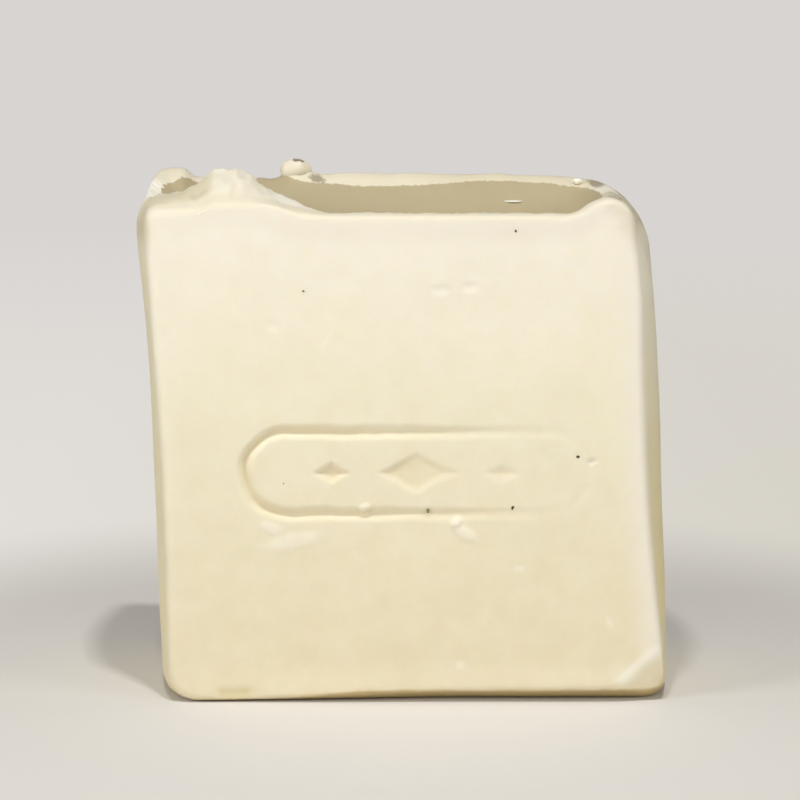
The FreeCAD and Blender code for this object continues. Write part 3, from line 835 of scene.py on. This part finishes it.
    def dress(self, piece: bpy.types.Object, soap: "DrySoap") -> None:
        """Give the bar its finish and let it stand for the solid of the frame."""
        piece.data.materials.append(soap.make())
        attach(piece, "root")
        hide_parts("soap_bar")


@dataclass(frozen=True)
class Grain:
    """One loose grain: its middle, half axes and turn, in mm and degrees; its seed sets its lumps."""

    middle: tuple[float, float, float]
    half_axes: tuple[float, float, float]
    turn: float = 0.0
    seed: int = 1


@dataclass
class Grains:
    """Grains of one finish, stuck to the bar, with their share of the tone for wear and painted shade on
    the soap's top.
    """

    name: str
    grains: tuple[Grain, ...]
    columns: int = 14
    rows: int = 9
    lumps: float = 0.18
    wear_and_shade: float = 0.0

    def build(self) -> bpy.types.Object:
        """Closed lumpy balls, with their share of the tone for wear and painted shade stored on the
        mesh.

        Each is a sphere by longitude and latitude with its poles closed, stretched to the half
        axes. Its radius swells by products of sines of both angles.
        """
        points, faces, total = [], [], 0
        longitude = np.linspace(0.0, 2 * math.pi, self.columns, endpoint=False)
        latitude = np.linspace(-math.pi / 2, math.pi / 2, self.rows + 2)[1:-1]
        for lump in self.grains:
            turn = math.radians(lump.turn)
            across, up = np.meshgrid(longitude, latitude, indexing="ij")
            phase = 1.7 * lump.seed
            swell = np.sin(3 * across + phase) * np.cos(2 * up + phase)
            swell = 1.0 + self.lumps * (swell + 0.6 * np.sin(5 * across - phase) * np.cos(up))
            ball = np.stack(
                [np.cos(up) * np.cos(across), np.cos(up) * np.sin(across), np.sin(up)], axis=2
            ) * swell[:, :, None]
            poles = np.array([[0.0, 0.0, -1.0], [0.0, 0.0, 1.0]])
            ball = np.concatenate([ball.reshape(-1, 3), poles]) * lump.half_axes
            x = ball[:, 0] * math.cos(turn) - ball[:, 2] * math.sin(turn)
            z = ball[:, 0] * math.sin(turn) + ball[:, 2] * math.cos(turn)
            points.append(np.stack([x, ball[:, 1], z], axis=1) + lump.middle)
            numbers = np.arange(self.columns * self.rows).reshape(self.columns, self.rows)
            after = np.roll(numbers, -1, axis=0)
            body = [numbers[:, :-1], after[:, :-1], after[:, 1:], numbers[:, 1:]]
            body = np.stack([part.ravel() for part in body], axis=1) + total
            south, north = numbers.size + total, numbers.size + total + 1
            faces += [tuple(face) for face in body.tolist()]
            faces += [(south, b, a) for a, b in zip(numbers[:, 0] + total, after[:, 0] + total)]
            faces += [(north, a, b) for a, b in zip(numbers[:, -1] + total, after[:, -1] + total)]
            total += numbers.size + 2
        piece = soap_mesh(self.name, np.concatenate(points), faces)
        layer = piece.data.attributes.new("wear_and_shade", "FLOAT", "POINT")
        layer.data.foreach_set("value", np.full(total, self.wear_and_shade, dtype=np.float32))
        return piece

    def dress(self, piece: bpy.types.Object, finish: bpy.types.Material) -> None:
        """Give the grains their finish and let them ride on the bar."""
        piece.data.materials.append(finish)
        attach(piece, "root")


def linear(code: str) -> tuple[float, float, float, float]:
    """Linear colour of an sRGB hex code such as #F0E6C8, with full opacity."""
    shares = [int(code[place : place + 2], 16) / 255 for place in (1, 3, 5)]
    turned = [s / 12.92 if s <= 0.04045 else ((s + 0.055) / 1.055) ** 2.4 for s in shares]
    return (turned[0], turned[1], turned[2], 1.0)


def per_mm(size: float) -> float:
    """Scale of a pattern on coordinates in metres, for features of that size in mm."""
    return 1.0 / (size * MM)


def add_node(
    tree: bpy.types.NodeTree,
    kind: str,
    settings: dict[str, Any] | None = None,
    values: dict[Any, Any] | None = None,
    links: dict[Any, bpy.types.NodeSocket] | None = None,
) -> bpy.types.Node:
    """Add a node with its settings and links.

    Args:
        tree: node tree that the node goes into.
        kind: type name of the node, without its Shader prefix.
        settings: properties of the node.
        values: plain values of its input sockets, by name or number.
        links: output sockets that feed its input sockets, by name or number.

    Returns:
        The new node.
    """
    node = tree.nodes.new("ShaderNode" + kind)
    for name, value in (settings or {}).items():
        setattr(node, name, value)
    for name, value in (values or {}).items():
        node.inputs[name].default_value = value
    for name, socket in (links or {}).items():
        tree.links.new(socket, node.inputs[name])
    return node


def new_material(name: str) -> tuple[bpy.types.Material, bpy.types.NodeTree]:
    """Empty node material and its tree."""
    material = bpy.data.materials.new(name)
    material.use_nodes = True
    material.node_tree.nodes.clear()
    return material, material.node_tree


@dataclass(frozen=True)
class DrySoap:
    """Pressed toilet soap, used and left to dry: waxy, cream, matt with a faint satin.

    The waxy body lets light in, so dents stay soft. Painted light makes the face paler towards its
    edges;
    painted shade makes the hollow, the sides and the underside darker and more olive, darkens the worn
    top along with its wear, and warms the floor of the sunk mark.
    """

    top: str = "#F6EFDF"
    middle: str = "#EEE6CB"
    low: str = "#E7DCBD"
    hollow_shadow: str = "#B5A785"
    wear_and_shade: str = "#D3C8A9"
    flank_shade: str = "#E2D39C"
    border_light: str = "#EFE8DA"
    groove: str = "#E6D6AE"
    pale: str = "#FAF5E6"
    warm: str = "#DCC893"
    underside_shadow: str = "#BDA876"
    patch_shade: str = "#8C8068"
    roughness: float = 0.52
    ior: float = 1.45
    # How far crumbs shift a tone's border, and where the tone then starts and is full.
    ragged_borders: dict[str, tuple[float, float, float]] = field(
        default_factory=lambda: {"hollow_shadow": (0.5, 1.18, 1.32), "patch_shade": (0.9, 1.3, 1.8)}
    )

    def make(self) -> bpy.types.Material:
        """Build the node material."""
        material, tree = new_material("dry_waxy_cream_soap")
        spot = add_node(tree, "TexCoord").outputs["Object"]
        height = add_node(tree, "SeparateXYZ", links={0: spot}).outputs["Z"]
        share = add_node(
            tree, "MapRange", values={"From Min": 0.0, "From Max": 57 * MM}, links={"Value": height}
        ).outputs["Result"]
        # Slow drift of the tone, patches about 9 mm across.
        drift = add_node(
            tree,
            "TexNoise",
            values={"Scale": per_mm(9), "Detail": 2.0, "Roughness": 0.5},
            links={"Vector": spot},
        ).outputs["Fac"]
        shifted = add_node(
            tree, "MixRGB", {"blend_type": "OVERLAY"}, {"Fac": 0.12}, {"Color1": share, "Color2": drift}
        ).outputs["Color"]
        # Cream turning darker and more yellow from top to bottom: partly the soap's own tone, partly
        # painted shade of light falling from above.
        ramp = add_node(tree, "ValToRGB", links={"Fac": shifted})
        steps = ramp.color_ramp.elements
        steps[0].position, steps[0].color = 0.08, linear(self.low)
        steps[1].position, steps[1].color = 0.97, linear(self.top)
        steps.new(0.52).color = linear(self.middle)
        colour = ramp.outputs["Color"]
        # Mottling of the pressed noodles of soap, about 2.5 mm.
        mottle = add_node(
            tree,
            "TexNoise",
            values={"Scale": per_mm(2.5), "Detail": 3.0, "Roughness": 0.55},
            links={"Vector": spot},
        ).outputs["Fac"]
        colour = add_node(
            tree,
            "MixRGB",
            {"blend_type": "SOFT_LIGHT"},
            {"Fac": 0.24},
            {"Color1": colour, "Color2": mottle},
        ).outputs["Color"]
        # Ragged borders of the painted shadow in the hollow and the patches of painted shade, crumbs of
        # about 0.45 mm.
        crumbs = add_node(
            tree,
            "TexNoise",
            values={"Scale": per_mm(0.45), "Detail": 3.0, "Roughness": 0.65},
            links={"Vector": spot},
        ).outputs["Fac"]
        # Stored tones laid over the cream one by one: painted shade on the sides, painted light along
        # the face's border, painted warm shade in the mark, a warm tone low in the chip, wear with
        # painted shade on the top, pale smears and tears, painted shadow under the bottom edge and in
        # the hollow, and patches of painted shade.
        for name, code, most in (
            ("flank_shade", self.flank_shade, 0.85),
            ("border_light", self.border_light, 0.75),
            ("groove", self.groove, 0.8),
            ("warm", self.warm, 0.4),
            ("wear_and_shade", self.wear_and_shade, 0.9),
            ("pale", self.pale, 0.4),
            ("underside_shadow", self.underside_shadow, 0.95),
            ("hollow_shadow", self.hollow_shadow, 1.0),
            ("patch_shade", self.patch_shade, 0.75),
        ):
            layer = add_node(tree, "Attribute", {"attribute_name": name}).outputs["Fac"]
            if name in self.ragged_borders:
                breadth, start, end = self.ragged_borders[name]
                broken = add_node(
                    tree, "Math", {"operation": "MULTIPLY_ADD"}, {1: breadth}, {0: crumbs, 2: layer}
                ).outputs["Value"]
                layer = add_node(
                    tree,
                    "MapRange",
                    {"interpolation_type": "SMOOTHSTEP"},
                    {"From Min": start, "From Max": end},
                    {"Value": broken},
                ).outputs["Result"]
            cover = add_node(
                tree, "Math", {"operation": "MULTIPLY"}, {1: most}, {0: layer}
            ).outputs["Value"]
            colour = add_node(
                tree, "MixRGB", values={"Color2": linear(code)}, links={"Fac": cover, "Color1": colour}
            ).outputs["Color"]
        # Fine tooth of the dried skin, 0.35 mm, and low waves left by fingers, 2.2 mm.
        tooth = add_node(
            tree,
            "TexNoise",
            values={"Scale": per_mm(0.35), "Detail": 3.0, "Roughness": 0.6},
            links={"Vector": spot},
        ).outputs["Fac"]
        waves = add_node(
            tree,
            "TexNoise",
            values={"Scale": per_mm(2.2), "Detail": 2.0, "Roughness": 0.5},
            links={"Vector": spot},
        ).outputs["Fac"]
        low_relief = add_node(
            tree, "Bump", values={"Strength": 0.35, "Distance": 0.12 * MM}, links={"Height": waves}
        ).outputs["Normal"]
        relief = add_node(
            tree,
            "Bump",
            values={"Strength": 0.3, "Distance": 0.04 * MM},
            links={"Height": tooth, "Normal": low_relief},
        ).outputs["Normal"]
        shader = add_node(
            tree,
            "BsdfPrincipled",
            values={
                "Roughness": self.roughness,
                "IOR": self.ior,
                "Specular IOR Level": 0.4,
                "Subsurface Weight": 0.25,
                "Subsurface Radius": (1.0, 0.65, 0.35),
                "Subsurface Scale": 1.2 * MM,
            },
            links={"Base Color": colour, "Normal": relief},
        ).outputs["BSDF"]
        add_node(tree, "OutputMaterial", links={"Surface": shader})
        return material


@dataclass(frozen=True)
class Dirt:
    """Specks of dried household dirt bedded in the soap: dull, brown to nearly black."""

    name: str
    tone: str
    roughness: float = 0.75

    def make(self) -> bpy.types.Material:
        """Build the node material, a tone broken up by grains about 0.3 mm across."""
        material, tree = new_material(self.name)
        spot = add_node(tree, "TexCoord").outputs["Object"]
        speckle = add_node(
            tree, "TexNoise", values={"Scale": per_mm(0.3), "Detail": 2.0}, links={"Vector": spot}
        ).outputs["Fac"]
        colour = add_node(
            tree,
            "MixRGB",
            {"blend_type": "OVERLAY"},
            {"Fac": 0.5, "Color1": linear(self.tone)},
            {"Color2": speckle},
        ).outputs["Color"]
        shader = add_node(
            tree, "BsdfPrincipled", values={"Roughness": self.roughness}, links={"Base Color": colour}
        ).outputs["BSDF"]
        add_node(tree, "OutputMaterial", links={"Surface": shader})
        return material


CRUMB = (Grain((-12.6, 7.4, 55.4), (1.75, 1.6, 1.38), 6.0, 3),)
SMEARS = (Grain((-12.3, 6.6, 56.6), (0.62, 0.3, 0.16), -8.0, 8),)
FLAKES = (
    Grain((11.5, 3.1, 52.32), (1.35, 0.5, 0.14), 0.0, 11),
    Grain((18.7, 5.4, 54.35), (0.55, 0.4, 0.34), 0.0, 12),
)
BROWN_GRAINS = (
    Grain((10.9, -13.3, 21.2), (0.26, 0.16, 0.24), 20.0, 1),
    Grain((17.75, -13.35, 26.65), (0.2, 0.12, 0.13), 0.0, 2),
    Grain((11.05, -13.4, 50.5), (0.13, 0.1, 0.15), 30.0, 3),
    Grain((-11.1, -13.4, 44.2), (0.1, 0.08, 0.09), 0.0, 4),
)
GREEN_GRAINS = (
    Grain((1.96, -13.3, 20.85), (0.16, 0.14, 0.24), -15.0, 5),
    Grain((-16.5, -12.6, 29.0), (0.08, 0.07, 0.08), 0.0, 6),
    Grain((-13.3, -13.4, 23.8), (0.08, 0.07, 0.08), 0.0, 7),
)


@dataclass
class Studio:
    """Plain pale floor, soft light and the camera, with places in mm."""

    floor_tone: str = "#DDD9D3"
    far_tone: str = "#D8D4D2"
    aim: tuple[float, float, float] = (-1.0, 0.0, 30.7)
    distance: float = 300.0
    pitch: float = 8.5
    lens: float = 122.7
    near_tones: tuple[str, str] = ("#E2DED9", "#D7D3C9")
    world_strength: float = 0.14

    def floor(self) -> bpy.types.Object:
        """Level disc of floor.

        Points lie on circles whose radii grow by equal steps, closed at the middle.
        """
        turns = np.linspace(0.0, 2 * math.pi, 96, endpoint=False)
        radii = np.linspace(0.0, 1500.0, 13)[1:]
        circle = np.stack([np.cos(turns), np.sin(turns), np.zeros_like(turns)], axis=1)
        points = np.concatenate([[[0.0, 0.0, 0.0]], (radii[:, None, None] * circle).reshape(-1, 3)])
        numbers = np.arange(radii.size * turns.size).reshape(radii.size, turns.size) + 1
        following = np.roll(numbers, -1, axis=1)
        rings = [numbers[:-1], numbers[1:], following[1:], following[:-1]]
        faces = [tuple(face) for face in np.stack([r.ravel() for r in rings], axis=1).tolist()]
        faces += [(0, a, b) for a, b in zip(numbers[0].tolist(), following[0].tolist())]
        floor = soap_mesh("floor", points, faces)
        material, tree = new_material("pale_matt_paper")
        spot = add_node(tree, "TexCoord").outputs["Object"]
        away = add_node(tree, "VectorMath", {"operation": "LENGTH"}, links={0: spot}).outputs["Value"]
        fade = add_node(
            tree,
            "MapRange",
            {"interpolation_type": "SMOOTHSTEP"},
            {"From Min": 50 * MM, "From Max": 100 * MM},
            {"Value": away},
        ).outputs["Result"]
        seen = add_node(tree, "LightPath").outputs["Is Camera Ray"]
        cover = add_node(
            tree, "Math", {"operation": "MULTIPLY"}, links={0: fade, 1: seen}
        ).outputs["Value"]
        paper = add_node(
            tree, "BsdfDiffuse", values={"Color": linear(self.floor_tone)}
        ).outputs["BSDF"]
        distant = add_node(
            tree, "MapRange", values={"From Min": 100 * MM, "From Max": 600 * MM}, links={"Value": away}
        ).outputs["Result"]
        across = add_node(tree, "SeparateXYZ", links={0: spot}).outputs["X"]
        aside = add_node(
            tree, "MapRange", values={"From Min": -60 * MM, "From Max": 60 * MM}, links={"Value": across}
        ).outputs["Result"]
        # Backdrop tone seen by the camera, lighter on the left than on the right: painted light.
        near = add_node(
            tree,
            "MixRGB",
            values={"Color1": linear(self.near_tones[0]), "Color2": linear(self.near_tones[1])},
            links={"Fac": aside},
        ).outputs["Color"]
        tone = add_node(
            tree,
            "MixRGB",
            values={"Color2": linear(self.far_tone)},
            links={"Fac": distant, "Color1": near},
        ).outputs["Color"]
        haze = add_node(tree, "Emission", links={"Color": tone}).outputs["Emission"]
        mixed = add_node(tree, "MixShader", links={0: cover, 1: paper, 2: haze}).outputs["Shader"]
        add_node(tree, "OutputMaterial", links={"Surface": mixed})
        floor.data.materials.append(material)
        return floor

    def world(self) -> None:
        """Even soft light from all round, with the backdrop's own tone for the camera."""
        world = bpy.data.worlds.new("studio")
        bpy.context.scene.world = world
        world.use_nodes = True
        tree = world.node_tree
        tree.nodes.clear()
        path = add_node(tree, "LightPath")
        backdrop = add_node(
            tree, "Background", values={"Color": linear(self.far_tone), "Strength": 1.0}
        )
        light = add_node(
            tree, "Background", values={"Color": linear("#FFFDF8"), "Strength": self.world_strength}
        )
        mixed = add_node(
            tree,
            "MixShader",
            links={
                0: path.outputs["Is Camera Ray"],
                1: light.outputs["Background"],
                2: backdrop.outputs["Background"],
            },
        )
        add_node(tree, "OutputWorld", links={"Surface": mixed.outputs["Shader"]})

    def lamp(self, name: str, place: tuple[float, float, float], size: float, watts: float) -> None:
        """Soft square lamp that looks at the bar.

        Args:
            name: name of the lamp.
            place: where it hangs in mm.
            size: width in mm.
            watts: power.
        """
        data = bpy.data.lights.new(name, "AREA")
        data.shape, data.size, data.energy = "SQUARE", size * MM, watts
        lamp = bpy.data.objects.new(name, data)
        lamp.location = Vector(place) * MM
        lamp.rotation_mode = "QUATERNION"
        towards = Vector((0.0, 0.0, 28.0)) * MM - lamp.location
        lamp.rotation_quaternion = towards.to_track_quat("-Z", "Y")
        bpy.context.scene.collection.objects.link(lamp)

    def camera(self) -> None:
        """Long lens a little above the bar, looking down by the pitch."""
        data = bpy.data.cameras.new("camera")
        data.lens, data.sensor_width = self.lens, 36.0
        data.clip_start, data.clip_end = 0.01, 20.0
        camera = bpy.data.objects.new("camera", data)
        pitch = math.radians(self.pitch)
        back = Vector((0.0, -math.cos(pitch), math.sin(pitch)))
        camera.location = (Vector(self.aim) + back * self.distance) * MM
        camera.rotation_mode = "QUATERNION"
        camera.rotation_quaternion = (-back).to_track_quat("-Z", "Y")
        bpy.context.scene.collection.objects.link(camera)
        bpy.context.scene.camera = camera

    def build(self) -> None:
        """Set up camera, floor, world and lamps."""
        self.camera()
        self.floor()
        self.world()
        self.lamp("key", (34.0, -150.0, 470.0), 25.0, 0.75)
        self.lamp("second", (-38.0, -150.0, 470.0), 25.0, 0.5)
        self.lamp("front", (-20.0, -480.0, 45.0), 200.0, 0.33)
        self.lamp("left", (-420.0, -260.0, 200.0), 200.0, 1.1)
        self.lamp("right", (420.0, -260.0, 200.0), 200.0, 0.72)


def main() -> None:
    """Build the bar, what sticks to it and the studio, and log the counts of faces and grains."""
    logging.basicConfig(level=logging.INFO, format="%(message)s")
    bpy.context.scene.view_settings.view_transform = "Standard"
    Studio().build()
    soap = DrySoap()
    bar = Bar()
    wear_and_shade = bar.build()
    bar.dress(wear_and_shade, soap)
    log.info("%s: %d faces", wear_and_shade.name, len(wear_and_shade.data.polygons))
    # The crumb is darkened by half the tone of wear and painted shade.
    crumb = Grains("crumb", CRUMB, columns=40, rows=26, lumps=0.06, wear_and_shade=0.5)
    loose = crumb.build()
    crumb.dress(loose, wear_and_shade.data.materials[0])
    flakes = Grains("soap_flakes", FLAKES)
    flakes.dress(flakes.build(), wear_and_shade.data.materials[0])
    log.info("%s: %d faces", loose.name, len(loose.data.polygons))
    for name, grains, finish in (
        ("grey_smears", SMEARS, Dirt("dried_grey_scum", "#93897A")),
        ("brown_specks", BROWN_GRAINS, Dirt("dried_brown_dirt", "#5A3A24")),
        ("grey_specks", GREEN_GRAINS, Dirt("dried_grey_green_dirt", "#8A8460")),
    ):
        specks = Grains(name, grains)
        piece = specks.build()
        specks.dress(piece, finish.make())
        log.info("%s: %d grains", name, len(grains))


if __name__ == "__main__":
    main()
